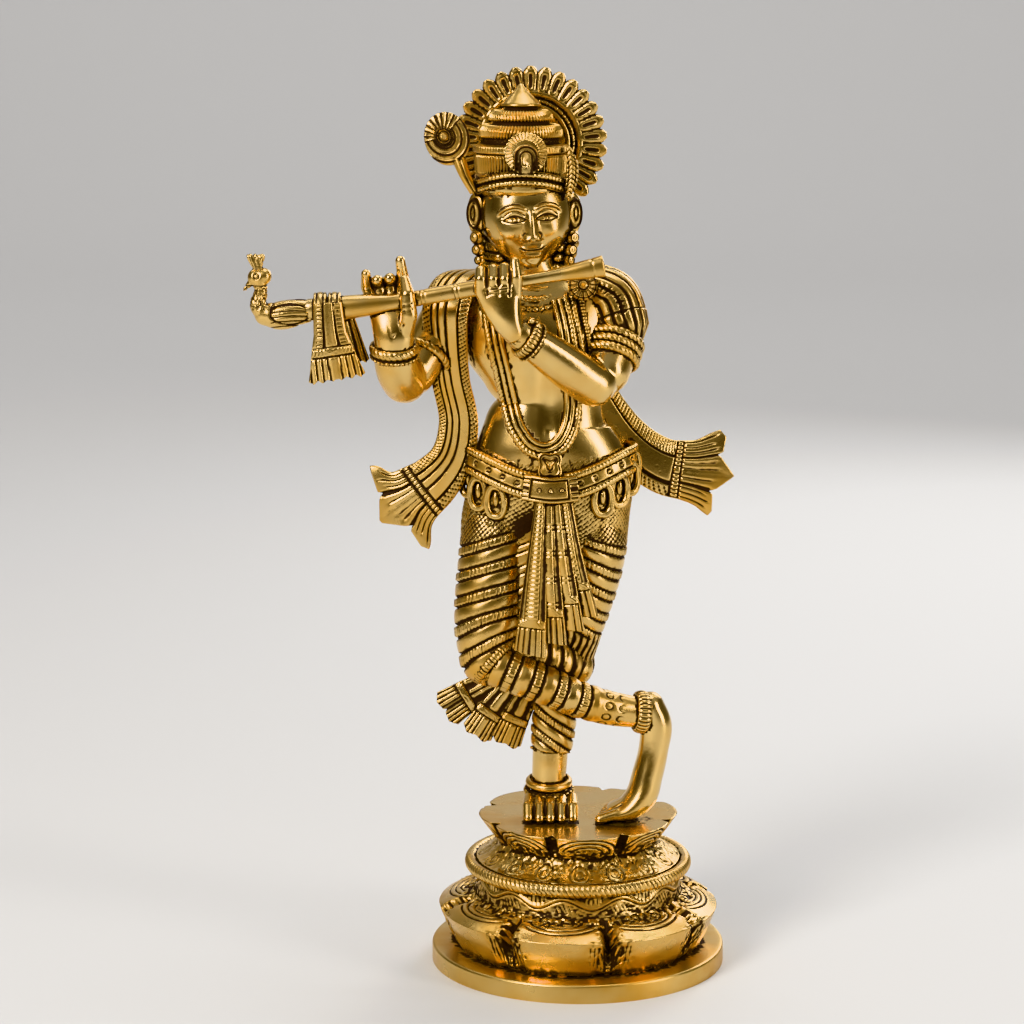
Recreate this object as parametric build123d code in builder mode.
"""Cast brass statue of a flute player on a double lotus pedestal.

The frame is +Z up with the origin at the centre of the pedestal's underside. The figure faces -Y,
so its right side is towards -X. All sizes are in millimetres.
"""

from build123d import *
import math
import os

os.makedirs("parts", exist_ok=True)

# Driving dimensions of the pedestal
DISC_RADIUS = 49.5
DISC_HEIGHT = 6.2
LOTUS_TOP = 24.0
LOTUS_RADIUS = 47.0
DRUM_RADIUS = 34.8
ROPE_HEIGHT = 34.0          # centre of the rope moulding
ROPE_RADIUS = 2.1
NECK_BOTTOM = 36.0
STAND_TOP = 50.5            # the face the feet stand on
STAND_RADIUS = 33.0
PETALS = 8

# Driving dimensions of the figure
HIP_JOINT = 143.0           # the legs are brazed to the hips on this level
BELT_LEVEL = 170.0          # the hips are brazed to the torso on this level
SHOULDER_TOP = 229.0
HEAD_X = -18.5
CROWN_X = -19.5
BAND_BOTTOM = 261.0
HALO_CENTRE = (-16.3, 12.0, 275.4)
HALO_RADIUS = 24.8
FLUTE_Y = -24.0

made = []


def finish(part, label):
    """Labels a finished piece and writes it as its own STEP file."""
    part.part.label = label
    export_step(part.part, f"parts/{label}.step")
    made.append(part)


def oval(centre, heading, across, deep, side=(1, 0, 0)):
    """One elliptical section of a limb, square to the heading."""
    along = Vector(*heading).normalized()
    flat = (Vector(*side) - along * Vector(*side).dot(along)).normalized()
    with BuildSketch(Plane(origin=centre, x_dir=flat, z_dir=along)) as outline:
        Ellipse(across, deep)
    return outline.sketch


def level(x, y, z, across, deep):
    """One level elliptical section at height z."""
    return oval((x, y, z), (0, 0, 1), across, deep)


def finger(start, end, radius):
    """Adds a round-ended finger to the open BuildPart."""
    way = Vector(*end) - Vector(*start)
    with BuildSketch(Plane(origin=start, z_dir=way)) as ring:
        Circle(radius)
    extrude(ring.sketch, amount=way.length)
    with Locations(start, end):
        Sphere(radius)


def plate(points, front, thickness):
    """Adds a flat plate, outlined in X and Z, from y = front backwards, to the open BuildPart."""
    with BuildSketch(Plane.XZ.offset(-front)) as outline:
        with BuildLine():
            Polyline(*points, close=True)
        make_face()
    extrude(outline.sketch, amount=-thickness)


def cut(*others):
    """Takes the other pieces away from the open BuildPart."""
    for other in others:
        add(other.part, mode=Mode.SUBTRACT)


# ---------------------------------------------------------------- pedestal

with BuildPart() as base_disc:
    with BuildSketch(Plane.XZ):
        with BuildLine():
            Polyline(
                (0, 0),
                (DISC_RADIUS - 0.4, 0),
                (DISC_RADIUS, 0.4),
                (DISC_RADIUS, DISC_HEIGHT - 1.2),
                (DISC_RADIUS - 1.0, DISC_HEIGHT - 0.4),
                (LOTUS_RADIUS - 4.5, DISC_HEIGHT),
                (0, DISC_HEIGHT),
                close=True,
            )
        make_face()
    revolve(axis=Axis.Z)
finish(base_disc, "base_disc")

with BuildPart() as lower_lotus:
    with BuildSketch(Plane.XZ):
        with BuildLine():
            Polyline((0, LOTUS_TOP), (0, DISC_HEIGHT), (41.5, DISC_HEIGHT))
            Spline((41.5, DISC_HEIGHT), (42.0, 13.0), (42.5, 18.0), (DRUM_RADIUS + 1.2, LOTUS_TOP))
            Line((DRUM_RADIUS + 1.2, LOTUS_TOP), (0, LOTUS_TOP))
        make_face()
    revolve(axis=Axis.Z)
    # Each petal is a wedge that leans outwards, rounded at its tip.
    for turn in range(PETALS):
        angle = -90 - 10 + turn * 360 / PETALS
        petal_plane = Plane.XY.rotated((0, 0, angle))
        with BuildSketch(petal_plane.offset(DISC_HEIGHT + 2.8)):
            with Locations((38.0, 0)):
                Ellipse(5.0, 8.0)
        with BuildSketch(petal_plane.offset(19.6)):
            with Locations((37.0, 0)):
                Ellipse(10.4, 14.2)
        loft()
finish(lower_lotus, "lower_lotus")

with BuildPart() as drum:
    with BuildSketch(Plane.XZ):
        with BuildLine():
            Polyline(
                (0, NECK_BOTTOM),
                (0, LOTUS_TOP),
                (DRUM_RADIUS + 1.0, LOTUS_TOP),
            )
            Spline(
                (DRUM_RADIUS + 1.0, LOTUS_TOP),
                (DRUM_RADIUS - 0.4, 28.0),
                (DRUM_RADIUS, ROPE_HEIGHT - ROPE_RADIUS),
            )
            Polyline(
                (DRUM_RADIUS, ROPE_HEIGHT - ROPE_RADIUS),
                (DRUM_RADIUS, NECK_BOTTOM),
                (0, NECK_BOTTOM),
            )
        make_face()
    revolve(axis=Axis.Z)
finish(drum, "drum")

with BuildPart() as rope_ring:
    with BuildSketch(Plane.XZ):
        with Locations((DRUM_RADIUS + 1.4, ROPE_HEIGHT)):
            Circle(ROPE_RADIUS)
        with Locations((DRUM_RADIUS - 5, ROPE_HEIGHT)):
            Rectangle(10, 3 * ROPE_RADIUS, mode=Mode.SUBTRACT)
    revolve(axis=Axis.Z)
finish(rope_ring, "rope_ring")

STANDING_DOWEL = (-10.0, 1.0)
CROSSED_DOWEL = (21.0, -6.0)
DOWEL_RADIUS = 2.2
DOWEL_DEPTH = 8.0

with BuildPart() as upper_lotus:
    with BuildSketch(Plane.XZ):
        with BuildLine():
            Polyline((0, STAND_TOP), (0, NECK_BOTTOM), (DRUM_RADIUS - 0.2, NECK_BOTTOM))
            Spline(
                (DRUM_RADIUS - 0.2, NECK_BOTTOM),
                (30.0, 38.2),
                (26.5, 41.0),
                (28.2, 45.5),
                (STAND_RADIUS - 1.8, STAND_TOP - 0.6),
            )
            Polyline(
                (STAND_RADIUS - 1.8, STAND_TOP - 0.6),
                (STAND_RADIUS - 2.2, STAND_TOP),
                (0, STAND_TOP),
            )
        make_face()
    revolve(axis=Axis.Z)
    # The hanging petals swell the rim into lobes.
    for turn in range(PETALS):
        angle = -90 + 4.5 + turn * 360 / PETALS
        petal_plane = Plane.XY.rotated((0, 0, angle))
        with BuildSketch(petal_plane.offset(42.5)):
            with Locations((23.5, 0)):
                Ellipse(5.0, 7.0)
        with BuildSketch(petal_plane.offset(STAND_TOP)):
            with Locations((22.0, 0)):
                Ellipse(11.4, 12.6)
        loft()
    for x, y in (STANDING_DOWEL, CROSSED_DOWEL):
        with Locations((x, y, STAND_TOP)):
            Hole(DOWEL_RADIUS, depth=DOWEL_DEPTH)
finish(upper_lotus, "upper_lotus")

with BuildPart() as foot_dowels:
    for x, y in (STANDING_DOWEL, CROSSED_DOWEL):
        with Locations((x, y, STAND_TOP - DOWEL_DEPTH)):
            Cylinder(
                DOWEL_RADIUS,
                DOWEL_DEPTH + 4.0,
                align=(Align.CENTER, Align.CENTER, Align.MIN),
            )
finish(foot_dowels, "foot_dowels")

# ---------------------------------------------------------------- feet and legs

with BuildPart() as standing_foot:
    # Five toes reach forwards from the instep; the ankle stands over the dowel.
    with BuildSketch(Plane.XZ.offset(4.0)):
        with Locations((-9.6, STAND_TOP + 3.6)):
            Ellipse(7.6, 3.6)
    with BuildSketch(Plane.XZ.offset(-7.0)):
        with Locations((-10.2, STAND_TOP + 4.2)):
            Ellipse(5.6, 4.2)
    loft()
    for toe in range(5):
        x = -16.2 + toe * 3.35
        finger((x + 0.2, -4.0, STAND_TOP + 3.0), (x, -13.0 + 0.5 * abs(toe - 1), STAND_TOP + 1.9), 1.75)
    loft([
        level(-10.2, 2.0, 55.0, 6.4, 6.6),
        level(-10.0, 1.6, 61.0, 5.9, 6.0),
        level(-9.8, 1.6, 66.0, 5.9, 5.9),
    ])
    with Locations((-10.0, 0, STAND_TOP - 5)):
        Box(60, 60, 10, mode=Mode.SUBTRACT)
    with Locations((STANDING_DOWEL[0], STANDING_DOWEL[1], STAND_TOP)):
        Cylinder(DOWEL_RADIUS, 8.0, mode=Mode.SUBTRACT)
finish(standing_foot, "standing_foot")

with BuildPart() as standing_anklet:
    for height, grow in ((58.2, 1.6), (60.6, 1.2)):
        with BuildSketch(Plane.XY.offset(height)):
            with Locations((-10.0, 1.6)):
                Ellipse(6.2 + grow, 6.4 + grow)
        extrude(amount=1.7)
    cut(standing_foot)
finish(standing_anklet, "standing_anklet")

# Sections of the standing leg: x, y, z, half width, half depth
STANDING_LEG = (
    (4.4, 1.0, HIP_JOINT, 11.6, 13.0),
    (2.4, 1.5, 130.0, 10.6, 11.6),
    (-1.6, 2.6, 114.0, 9.0, 10.0),
    (-4.6, 4.0, 100.0, 8.2, 8.8),
    (-8.0, 4.6, 86.0, 7.6, 8.2),
    (-9.2, 3.6, 74.0, 6.8, 7.2),
    (-9.8, 1.6, 66.0, 5.9, 5.9),
)
with BuildPart() as standing_leg:
    loft([level(*station) for station in STANDING_LEG])
finish(standing_leg, "standing_leg")

with BuildPart() as crossed_foot:
    # The foot stands on its toes with the heel up and the sole turned to +X.
    loft([
        oval((25.0, -7.0, 87.0), (0.1, 0, -1), 5.0, 5.4),
        oval((26.0, -7.0, 78.0), (-0.1, 0, -1), 4.4, 5.6),
        oval((23.0, -7.4, 66.0), (-0.2, 0, -1), 4.2, 6.2),
        oval((20.4, -8.0, 57.0), (-0.5, 0, -1), 5.2, 7.0),
    ])
    for toe in range(5):
        y = -13.4 + toe * 2.7
        finger((20.0, y + 0.4, 56.0), (9.6 + 0.7 * toe, y, 53.0), 2.0)
    with Locations((25.4, -7.0, 86.6)):
        Sphere(4.9)
    with Locations((15.0, 0, STAND_TOP - 5)):
        Box(60, 60, 10, mode=Mode.SUBTRACT)
    with Locations((CROSSED_DOWEL[0], CROSSED_DOWEL[1], STAND_TOP)):
        Cylinder(DOWEL_RADIUS, 8.0, mode=Mode.SUBTRACT)
finish(crossed_foot, "crossed_foot")

CROSSED_THIGH = (
    (-27.6, -1.0, HIP_JOINT, 11.6, 13.0),
    (-29.4, -4.0, 130.0, 11.6, 12.4),
    (-30.6, -7.0, 117.0, 10.8, 11.2),
    (-30.2, -8.6, 108.0, 9.6, 9.6),
)
with BuildPart() as crossed_leg:
    loft([level(*station) for station in CROSSED_THIGH])
    with Locations((-29.0, -9.4, 106.0)):
        Sphere(9.0)
    loft([
        oval((-28.0, -10.5, 104.0), (1, -0.05, -0.4), 7.4, 7.4, side=(0, 1, 0)),
        oval((-10.0, -13.0, 95.6), (1, -0.05, -0.4), 6.0, 6.2, side=(0, 1, 0)),
        oval((8.0, -11.5, 89.6), (1, 0.1, -0.25), 5.2, 5.4, side=(0, 1, 0)),
        oval((21.0, -8.0, 87.0), (1, 0.2, -0.1), 4.6, 4.8, side=(0, 1, 0)),
    ])
    cut(standing_leg, crossed_foot)
finish(crossed_leg, "crossed_leg")

with BuildPart() as crossed_anklet:
    for x in (15.4, 18.2):
        ring = oval((x, -9.2 + 0.2 * (x - 15), 88.2), (1, 0.12, -0.2), 6.2, 6.4, side=(0, 1, 0))
        extrude(ring, amount=1.8)
    cut(crossed_leg, crossed_foot)
finish(crossed_anklet, "crossed_anklet")

with BuildPart() as rear_cloth_tail:
    # A fan of three pleats that swings out behind the crossed knee.
    plate(
        [(-16.0, 100.0), (-28.0, 97.4), (-40.0, 94.6), (-46.6, 91.6), (-45.4, 85.6), (-42.2, 80.6),
         (-37.4, 82.0), (-35.8, 77.6), (-33.2, 74.4), (-28.6, 76.4), (-26.6, 73.4), (-23.6, 71.6),
         (-18.6, 74.6), (-14.0, 84.0)],
        front=7.0, thickness=3.6,
    )
    cut(standing_leg, crossed_leg)
finish(rear_cloth_tail, "rear_cloth_tail")

# ---------------------------------------------------------------- hips, torso and neck

HIP_SECTIONS = (
    (-11.8, 0.0, HIP_JOINT, 27.6, 13.6),
    (-10.2, 0.0, 156.0, 27.4, 14.6),
    (-9.4, 0.0, BELT_LEVEL, 25.6, 14.0),
)
with BuildPart() as hips:
    loft([level(*station) for station in HIP_SECTIONS])
finish(hips, "hips")

TORSO_SECTIONS = (
    (-9.4, 0.0, BELT_LEVEL, 25.6, 14.0),
    (-10.6, 0.0, 181.0, 21.6, 12.8),
    (-10.2, -0.4, 193.0, 17.2, 11.4),
    (-12.2, -0.6, 204.0, 22.4, 13.0),
    (-13.4, -0.2, 214.0, 26.4, 13.8),
    (-14.2, 0.8, 223.0, 28.0, 11.6),
    (-15.0, 1.2, SHOULDER_TOP, 14.0, 9.6),
)
with BuildPart() as torso:
    loft([level(*station) for station in TORSO_SECTIONS])
finish(torso, "torso")

with BuildPart() as neck:
    loft([
        level(-15.0, 1.2, SHOULDER_TOP, 10.0, 9.0),
        level(-16.0, 0.6, 234.0, 8.6, 8.6),
        level(-17.0, 0.6, 241.0, 8.8, 9.0),
    ])
finish(neck, "neck")

# ---------------------------------------------------------------- head

HEAD_SECTIONS = (
    (-17.0, -6.4, 235.8, 4.2, 4.6),
    (-17.4, -4.6, 239.5, 9.4, 9.6),
    (-17.9, -2.2, 246.0, 12.6, 13.6),
    (HEAD_X, -0.6, 253.0, 14.0, 15.0),
    (-18.8, 0.0, BAND_BOTTOM, 14.4, 15.2),
)
with BuildPart() as head:
    loft([level(*station) for station in HEAD_SECTIONS])
    # nose
    loft([
        oval((-17.2, -13.8, 254.6), (0, -0.35, -1), 1.3, 1.2),
        oval((-16.8, -15.2, 247.6), (0, -0.35, -1), 2.5, 2.8),
    ])
    cut(neck)
finish(head, "head")

EAR_LEVEL = 252.5
with BuildPart() as ears:
    for side in (-1, 1):
        with BuildSketch(Plane.YZ.offset(HEAD_X + side * 13.4)):
            with Locations((1.0, EAR_LEVEL)):
                Ellipse(3.6, 7.4)
        extrude(amount=side * 3.4)
    cut(head)
finish(ears, "ears")

with BuildPart() as back_hair:
    loft([
        level(HEAD_X, 4.0, BAND_BOTTOM, 13.6, 12.0),
        level(HEAD_X + 0.4, 5.6, 248.0, 14.8, 11.0),
        level(HEAD_X + 1.4, 6.6, 236.0, 15.8, 8.8),
        level(HEAD_X + 2.4, 7.0, SHOULDER_TOP + 1.5, 12.0, 6.6),
    ])
    cut(head, neck, ears)
finish(back_hair, "back_hair")

# ---------------------------------------------------------------- crown

with BuildPart() as crown_band:
    with Locations((CROWN_X, 0.2, BAND_BOTTOM)):
        Cylinder(15.6, 7.0, align=(Align.CENTER, Align.CENTER, Align.MIN))
    fillet(crown_band.edges().filter_by(GeomType.CIRCLE), 0.8)
finish(crown_band, "crown_band")

# Each tier of the crown: bottom, top, radius
CROWN_TIERS = ((268.0, 275.4, 14.6), (275.4, 282.4, 12.8), (282.4, 287.6, 9.6))
with BuildPart() as crown_tiers:
    for bottom, top, radius in CROWN_TIERS:
        with Locations((CROWN_X, 0.8, bottom)):
            Cone(radius, radius - 1.6, top - bottom, align=(Align.CENTER, Align.CENTER, Align.MIN))
finish(crown_tiers, "crown_tiers")

with BuildPart() as crown_finial:
    with Locations((CROWN_X, 0.8, CROWN_TIERS[-1][1])):
        Cylinder(4.6, 1.0, align=(Align.CENTER, Align.CENTER, Align.MIN))
    with Locations((CROWN_X, 0.8, CROWN_TIERS[-1][1] + 1.0)):
        Cone(6.2, 0.3, 6.4, align=(Align.CENTER, Align.CENTER, Align.MIN))
finish(crown_finial, "crown_finial")

with BuildPart() as crown_medallion:
    with BuildSketch(Plane.XZ.offset(14.4)):
        with Locations((-18.2, 274.2)):
            Circle(6.8)
    extrude(amount=3.0)
    with BuildSketch(Plane.XZ.offset(17.4)):
        with Locations((-18.2, 272.6)):
            Circle(3.4)
    extrude(amount=1.0)
    cut(crown_tiers, crown_band)
finish(crown_medallion, "crown_medallion")

with BuildPart() as peacock_feather:
    with BuildSketch(Plane.XZ.offset(6.0)):
        with Locations((-43.8, 277.4)):
            Ellipse(7.6, 8.0)
    extrude(amount=-2.6)
    with BuildSketch(Plane.XZ.offset(6.0)):
        with BuildLine():
            Polyline((-44.0, 274.0), (-40.0, 272.0), (-33.6, 262.0), (-36.6, 261.4), close=True)
        make_face()
    extrude(amount=-2.6)
    cut(crown_band, crown_tiers)
finish(peacock_feather, "peacock_feather")

with BuildPart() as side_plume:
    with BuildSketch(Plane.XZ.offset(11.4)):
        with Locations(Location((-3.2, 267.6), 8)):
            Ellipse(2.1, 6.8)
    extrude(amount=-4.6)
    cut(crown_band, crown_tiers)
finish(side_plume, "side_plume")

# ---------------------------------------------------------------- halo

HALO_INNER = 15.2
HALO_SWEEP = 270.0
HALO_PETALS = 23
with BuildPart() as halo_plate:
    with BuildSketch(Plane.XZ.offset(-HALO_CENTRE[1])):
        with Locations((HALO_CENTRE[0], HALO_CENTRE[2])):
            Circle(HALO_RADIUS - 4.0)
            for petal in range(HALO_PETALS):
                angle = -45 + HALO_SWEEP * petal / (HALO_PETALS - 1)
                with PolarLocations(HALO_RADIUS - 5.0, 1, start_angle=angle):
                    SlotOverall(10.0, 3.2)
    extrude(amount=-2.4)
    # The plate is open below, where the neck and the hair pass.
    with BuildSketch(Plane.XZ.offset(-HALO_CENTRE[1])):
        with Locations((HALO_CENTRE[0], HALO_CENTRE[2] - 26)):
            Rectangle(28, 26)
    extrude(amount=-4.0, mode=Mode.SUBTRACT)
    cut(back_hair, crown_band, crown_tiers)
finish(halo_plate, "halo_plate")

with BuildPart() as halo_rope:
    with BuildSketch(Plane.XZ.offset(-HALO_CENTRE[1])):
        with Locations((HALO_CENTRE[0], HALO_CENTRE[2])):
            Circle(HALO_INNER + 1.8)
            Circle(HALO_INNER, mode=Mode.SUBTRACT)
            with Locations((0, -22)):
                Rectangle(40, 22, mode=Mode.SUBTRACT)
    extrude(amount=1.4)
    cut(back_hair, crown_band, crown_tiers)
finish(halo_rope, "halo_rope")

# ---------------------------------------------------------------- flute

FLUTE_SECTIONS = (
    (-86.5, 224.2, 3.6),
    (-72.0, 225.4, 3.8),
    (-60.0, 226.8, 3.2),
    (-45.0, 229.2, 2.6),
    (-27.0, 232.6, 2.4),
    (-10.0, 235.4, 2.4),
    (6.5, 238.0, 3.0),
)
with BuildPart() as flute:
    loft([
        oval((x, FLUTE_Y, z), (1, 0, 0.15), radius, radius, side=(0, 1, 0))
        for x, z, radius in FLUTE_SECTIONS
    ])
finish(flute, "flute")

with BuildPart() as flute_peacock:
    # body and breast, drawn out to the neck
    loft([
        oval((-87.4, FLUTE_Y, 224.2), (-1, 0, -0.1), 3.6, 3.8, side=(0, 1, 0)),
        oval((-93.0, FLUTE_Y, 223.4), (-1, 0, -0.1), 4.4, 5.0, side=(0, 1, 0)),
        oval((-99.0, FLUTE_Y, 223.0), (-1, 0, 0.3), 4.0, 4.8, side=(0, 1, 0)),
        oval((-102.6, FLUTE_Y, 226.6), (-0.3, 0, 1), 2.6, 3.2, side=(0, 1, 0)),
        oval((-102.8, FLUTE_Y, 232.6), (0.05, 0, 1), 2.2, 2.6, side=(0, 1, 0)),
    ])
    with Locations((-103.4, FLUTE_Y, 234.6)):
        Sphere(3.3)
    with Locations(Location((-107.0, FLUTE_Y, 232.2), (0, -130, 0))):
        Cone(1.7, 0.3, 3.6)
    # crest
    with BuildSketch(Plane.XZ.offset(-FLUTE_Y - 0.8)):
        with BuildLine():
            Polyline((-104.6, 237.0), (-102.2, 237.0), (-102.4, 241.2), (-107.2, 241.2), close=True)
        make_face()
    extrude(amount=1.6)
    cut(flute)
finish(flute_peacock, "flute_peacock")

with BuildPart() as flute_cloth:
    loft([
        oval((-85.4, FLUTE_Y, 224.4), (1, 0, 0.1), 5.0, 5.0, side=(0, 1, 0)),
        oval((-75.4, FLUTE_Y, 225.6), (1, 0, 0.1), 5.2, 5.2, side=(0, 1, 0)),
    ])
    with BuildSketch(Plane.XY.offset(222.0)):
        with Locations((-80.4, FLUTE_Y)):
            Rectangle(9.6, 8.0)
    with BuildSketch(Plane.XY.offset(200.8)):
        with Locations((-78.2, FLUTE_Y)):
            Rectangle(18.6, 5.6)
    loft()
    cut(flute, flute_peacock)
finish(flute_cloth, "flute_cloth")

# ---------------------------------------------------------------- arms and hands

RIGHT_ELBOW = (-57.6, -12.0, 199.4)
RIGHT_WRIST = (-60.2, -22.0, 210.0)
with BuildPart() as right_upper_arm:
    loft([
        oval((-43.0, 2.0, 222.6), (-0.5, -0.4, -1), 8.8, 9.0),
        oval((-49.0, -3.0, 212.0), (-0.5, -0.5, -1), 7.8, 8.2),
        oval((-55.0, -8.6, 202.0), (-0.4, -0.6, -0.7), 7.2, 7.4),
    ])
    with Locations((-42.6, 2.0, 221.8)):
        Sphere(8.8)
    cut(torso)
finish(right_upper_arm, "right_upper_arm")

with BuildPart() as right_forearm:
    with Locations(RIGHT_ELBOW):
        Sphere(7.6)
    loft([
        oval(RIGHT_ELBOW, (-0.1, -0.9, 0.6), 7.6, 7.4),
        oval((-59.4, -18.0, 204.6), (-0.1, -0.8, 0.8), 7.2, 7.0),
        oval(RIGHT_WRIST, (0, -0.35, 1), 6.0, 5.4),
    ])
    cut(right_upper_arm)
finish(right_forearm, "right_forearm")

with BuildPart() as right_hand:
    # palm under the flute, back of the hand behind it, fingers over the top
    loft([
        oval(RIGHT_WRIST, (0, -0.35, 1), 6.0, 5.4),
        oval((-60.4, -23.4, 215.0), (0, -0.2, 1), 6.6, 5.2),
        oval((-60.6, -22.4, 221.6), (0, 0.3, 1), 7.0, 5.2),
    ])
    for order, x in enumerate((-69.0, -65.0, -61.6, -58.2)):
        lift = (3.6, 0.6, 1.2, 7.0)[order]
        finger((x * 0.6 - 24.4, -18.0, 220.0), (x, -17.6, 231.0), 1.9)
        finger((x, -17.6, 231.0), (x - 0.2, -23.0, 233.4 + lift), 1.8)
    finger((-57.4, -26.4, 219.0), (-55.6, -30.0, 226.0), 2.4)
    finger((-55.6, -30.0, 226.0), (-56.4, -28.6, 233.0), 2.2)
    cut(flute, right_forearm)
finish(right_hand, "right_hand")

with BuildPart() as right_bracelet:
    for drop in (0.0, 2.2):
        extrude(oval((-60.2, -21.6 + drop * 0.3, 210.6 - drop), (0, -0.35, 1), 7.4, 6.8), amount=1.8)
    cut(right_forearm, right_hand)
finish(right_bracelet, "right_bracelet")

LEFT_ELBOW = (4.6, -15.0, 198.6)
LEFT_WRIST = (-20.6, -27.0, 217.4)
with BuildPart() as left_upper_arm:
    loft([
        oval((11.6, 2.0, 221.6), (0, -0.2, -1), 8.8, 9.0),
        oval((11.6, -3.0, 212.0), (-0.1, -0.5, -1), 8.0, 8.4),
        oval((8.4, -9.6, 203.0), (-0.3, -0.8, -0.9), 7.6, 7.6),
    ])
    with Locations((11.2, 2.0, 221.4)):
        Sphere(8.8)
    cut(torso)
finish(left_upper_arm, "left_upper_arm")

with BuildPart() as left_forearm:
    with Locations(LEFT_ELBOW):
        Sphere(7.2)
    loft([
        oval(LEFT_ELBOW, (-0.7, -0.3, 0.55), 6.9, 7.0, side=(0, 1, 0)),
        oval((-8.0, -21.4, 208.0), (-0.75, -0.35, 0.58), 6.2, 6.8, side=(0, 1, 0)),
        oval(LEFT_WRIST, (-0.7, -0.35, 0.7), 4.8, 5.2, side=(0, 1, 0)),
    ])
    cut(left_upper_arm, torso)
finish(left_forearm, "left_forearm")

with BuildPart() as left_armlet:
    for drop in (0.0, 2.8, 5.6):
        centre = (11.9 - drop * 0.25, -2.6 - drop * 0.75, 212.6 - drop * 0.95)
        extrude(oval(centre, (-0.22, -0.6, -1), 9.6, 9.8), amount=2.0)
    cut(left_upper_arm, torso, left_forearm)
finish(left_armlet, "left_armlet")

with BuildPart() as left_hand:
    loft([
        oval(LEFT_WRIST, (-0.7, -0.35, 0.7), 4.8, 5.2, side=(0, 1, 0)),
        oval((-24.6, -28.6, 222.6), (-0.3, -0.1, 1), 5.8, 4.2),
        oval((-26.8, -29.2, 229.4), (0, 0.1, 1), 7.8, 3.8),
    ])
    for order, x in enumerate((-32.8, -28.8, -24.9, -21.0)):
        lift = (0.0, 0.3, 0.5, 3.2)[order]
        finger((x, -29.4, 229.0), (x, -28.6, 236.0 + lift), 2.0)
        finger((x, -28.6, 236.0 + lift), (x, -20.6, 237.4), 1.8)
    cut(flute, left_forearm)
finish(left_hand, "left_hand")

with BuildPart() as left_bracelet:
    for slide in (0.0, 2.4):
        centre = (-18.6 - slide * 0.7, -26.1 - slide * 0.35, 215.6 + slide * 0.66)
        extrude(oval(centre, (-0.72, -0.35, 0.66), 6.6, 6.8, side=(0, 1, 0)), amount=2.0)
    cut(left_forearm, left_hand)
finish(left_bracelet, "left_bracelet")

# ---------------------------------------------------------------- belt and pleats

with BuildPart() as belt:
    # A band that dips towards the buckle and follows the hips.
    with BuildSketch(Plane(origin=(-9.4, 0, 168.4), x_dir=(1, 0, 0), z_dir=(0, 0.3, 1))):
        Ellipse(28.0, 17.2)
    extrude(amount=7.6)
    cut(hips, torso, left_forearm)
finish(belt, "belt")

with BuildPart() as belt_buckle:
    with BuildSketch(Plane.XZ.offset(14.0)):
        with Locations((-9.8, 165.2)):
            RectangleRounded(16.4, 7.6, 1.2)
    extrude(amount=6.0)
    fillet(belt_buckle.faces().sort_by(Axis.Y)[0].edges(), 0.6)
    cut(belt, hips)
finish(belt_buckle, "belt_buckle")

with BuildPart() as belt_pendant:
    with BuildSketch(Plane.XZ.offset(11.0)):
        with BuildLine():
            Polyline((-14.0, 169.2), (-5.6, 169.2), (-7.2, 176.4), (-12.6, 176.4), close=True)
        make_face()
    extrude(amount=6.2)
    cut(belt, torso, hips)
finish(belt_pendant, "belt_pendant")

# Loops of beadwork hang below the belt all round the hips.
LOOP_TURNS = (-78, -56, -33, 33, 56, 78, 102, 125, 148, 172, 196, 219, 242)
with BuildPart() as belt_loops:
    for turn in LOOP_TURNS:
        angle = math.radians(turn - 90)
        x = -9.8 + 27.6 * math.cos(angle)
        y = 14.8 * math.sin(angle)
        z = 160.6 + 2.0 * (1 - math.cos(math.radians(turn)))
        out = (14.8 * math.cos(angle), 27.6 * math.sin(angle), 0)
        with BuildSketch(Plane(origin=(x, y, z), x_dir=(-out[1], out[0], 0), z_dir=out)):
            SlotOverall(9.4, 6.0, rotation=90)
        extrude(amount=1.6, both=True)
    cut(hips, belt, belt_buckle)
finish(belt_loops, "belt_loops")

with BuildPart() as front_pleats:
    # Four pleats fall from the buckle between the thighs, each a step shorter than the last.
    tops = (-16.6, -13.0, -9.6, -6.4, -3.2)
    feet = (-21.4, -12.8, -6.4, -0.6, 4.0)
    ends = (109.6, 113.8, 117.4, 121.4, 125.6)
    for pleat in range(4):
        outline = [
            (tops[pleat], 161.2),
            (tops[pleat + 1], 161.2),
            (feet[pleat + 1], ends[pleat + 1]),
            (feet[pleat], ends[pleat]),
        ]
        plate(outline, front=-21.4 + pleat * 0.5, thickness=9.0)
    cut(hips, crossed_leg, standing_leg, belt, belt_buckle, belt_loops)
finish(front_pleats, "front_pleats")

# ---------------------------------------------------------------- necklaces

with BuildPart() as collar_necklace:
    for size, drop in ((11.2, 0.0), (13.4, 2.4)):
        with Locations(Location((-15.0, -1.0 - drop * 0.6, 229.4 - drop), (24, 0, 0))):
            Torus(size, 1.5)
    cut(torso, neck, back_hair, head, left_hand, right_upper_arm, left_upper_arm)
finish(collar_necklace, "collar_necklace")

with BuildPart() as garland:
    # A flat U that hangs from the shoulders to just above the belt.
    with BuildSketch(Plane.XZ.offset(9.0)):
        with BuildLine():
            Polyline((-26.0, 226.0), (-23.4, 205.0), (-22.4, 188.0))
            ThreePointArc((-22.4, 188.0), (-12.3, 176.4), (-2.2, 187.0))
            Polyline((-2.2, 187.0), (-1.8, 205.0), (-3.0, 226.0))
            Polyline((-3.0, 226.0), (-7.4, 226.0), (-6.8, 205.0), (-6.6, 187.0))
            ThreePointArc((-6.6, 187.0), (-12.2, 181.4), (-17.6, 188.0))
            Polyline((-17.6, 188.0), (-18.4, 205.0), (-21.0, 226.0), (-26.0, 226.0))
        make_face()
    extrude(amount=8.0)
    cut(torso, left_forearm, left_hand, left_bracelet, collar_necklace, belt_pendant, belt)
finish(garland, "garland")

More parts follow.
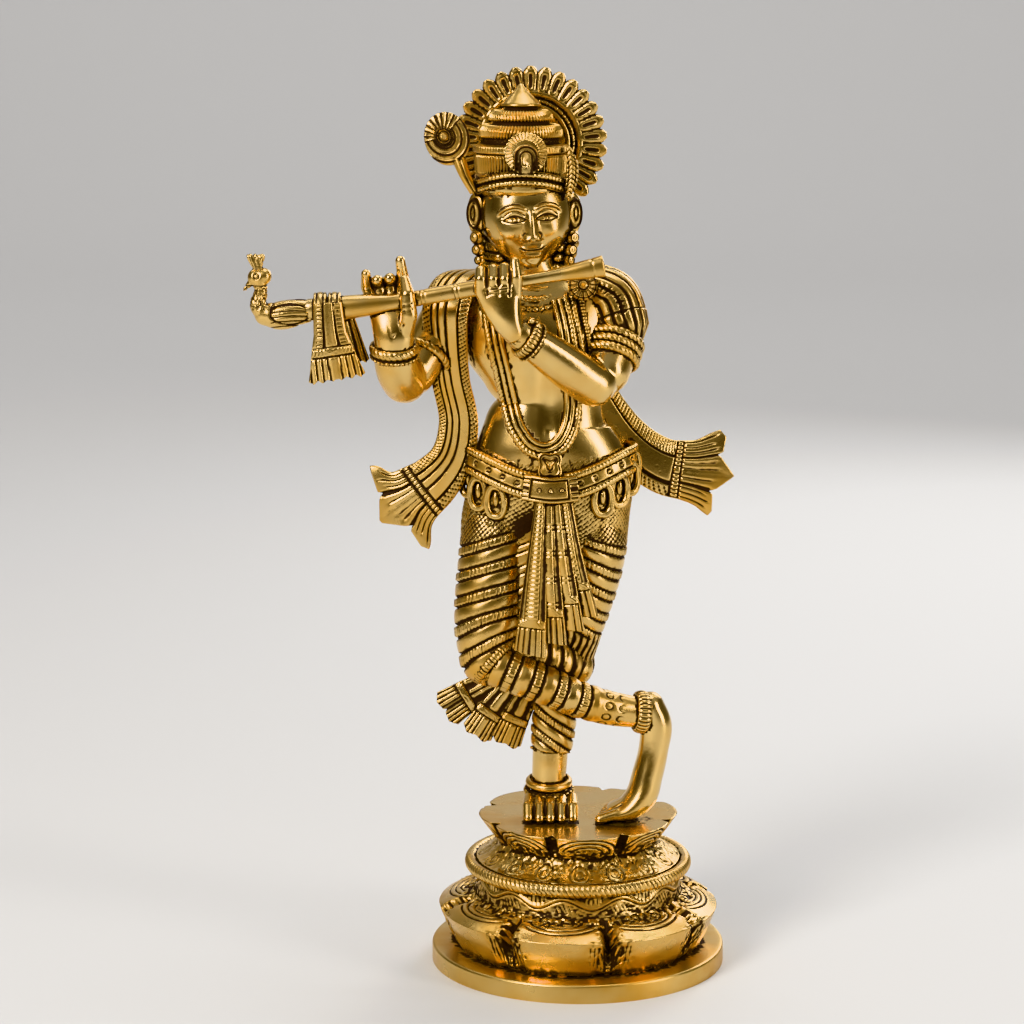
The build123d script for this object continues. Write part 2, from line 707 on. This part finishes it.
# ---------------------------------------------------------------- scarf

with BuildPart() as scarf_right_end:
    # Falls from the right shoulder beside the body and swings out to a fringed end.
    plate(
        [(-50.2, 226.0), (-39.4, 226.0), (-37.4, 212.0), (-35.8, 198.0), (-33.2, 187.0), (-32.6, 180.0),
         (-34.4, 172.0), (-38.4, 163.0), (-43.4, 155.0), (-49.7, 143.0), (-54.0, 147.6), (-57.4, 152.4),
         (-66.4, 150.8), (-65.4, 157.0), (-66.4, 162.0), (-70.9, 167.9), (-61.0, 169.4), (-54.0, 172.6),
         (-48.6, 178.0), (-46.2, 185.0), (-46.0, 194.0), (-47.4, 206.0), (-49.8, 216.0)],
        front=-1.6, thickness=3.4,
    )
    cut(torso, right_upper_arm, right_forearm, hips, belt, belt_loops, crossed_leg)
finish(scarf_right_end, "scarf_right_end")

with BuildPart() as scarf_left_end:
    plate(
        [(10.6, 198.0), (13.9, 196.7), (18.4, 189.2), (23.7, 183.6), (29.4, 179.0), (33.7, 176.9),
         (41.2, 178.0), (45.2, 180.4), (48.0, 173.6), (51.8, 165.6), (45.2, 160.8), (45.4, 153.0),
         (31.6, 159.0), (15.0, 166.0), (8.0, 184.0)],
        front=3.0, thickness=3.4,
    )
    cut(torso, left_upper_arm, left_forearm, hips, belt, belt_loops)
finish(scarf_left_end, "scarf_left_end")

with BuildPart() as scarf_back:
    # Lies across the back from shoulder to shoulder.
    plate(
        [(-45.0, 230.0), (-30.0, 226.0), (-15.0, 221.0), (0.0, 225.0), (14.0, 229.0), (16.4, 214.0),
         (12.4, 201.0), (0.0, 197.0), (-15.0, 195.4), (-30.0, 197.4), (-42.0, 204.0), (-46.4, 216.0)],
        front=9.0, thickness=6.0,
    )
    cut(torso, right_upper_arm, left_upper_arm, back_hair, left_armlet, scarf_left_end)
finish(scarf_back, "scarf_back")

with BuildPart() as scarf_shoulders:
    # A cap of folded cloth over each shoulder.
    for x, lean in ((-43.4, 12), (11.6, -12)):
        with Locations(Location((x, 1.6, 222.4), (0, lean, 0))):
            Cylinder(10.4, 9.0, align=(Align.CENTER, Align.CENTER, Align.MIN))
    fillet(scarf_shoulders.edges().group_by(Axis.Z)[-1], 3.0)
    cut(torso, right_upper_arm, left_upper_arm, back_hair, collar_necklace, garland)
    cut(scarf_right_end, scarf_back, left_armlet)
finish(scarf_shoulders, "scarf_shoulders")

with BuildPart() as shoulder_rosette:
    with BuildSketch(Plane.XZ.offset(10.6)):
        with Locations((0.6, 231.0)):
            Circle(4.8)
    extrude(amount=2.2)
    cut(torso, left_upper_arm, flute, head, collar_necklace, garland, scarf_shoulders)
finish(shoulder_rosette, "shoulder_rosette")

print(len(made), "pieces written")
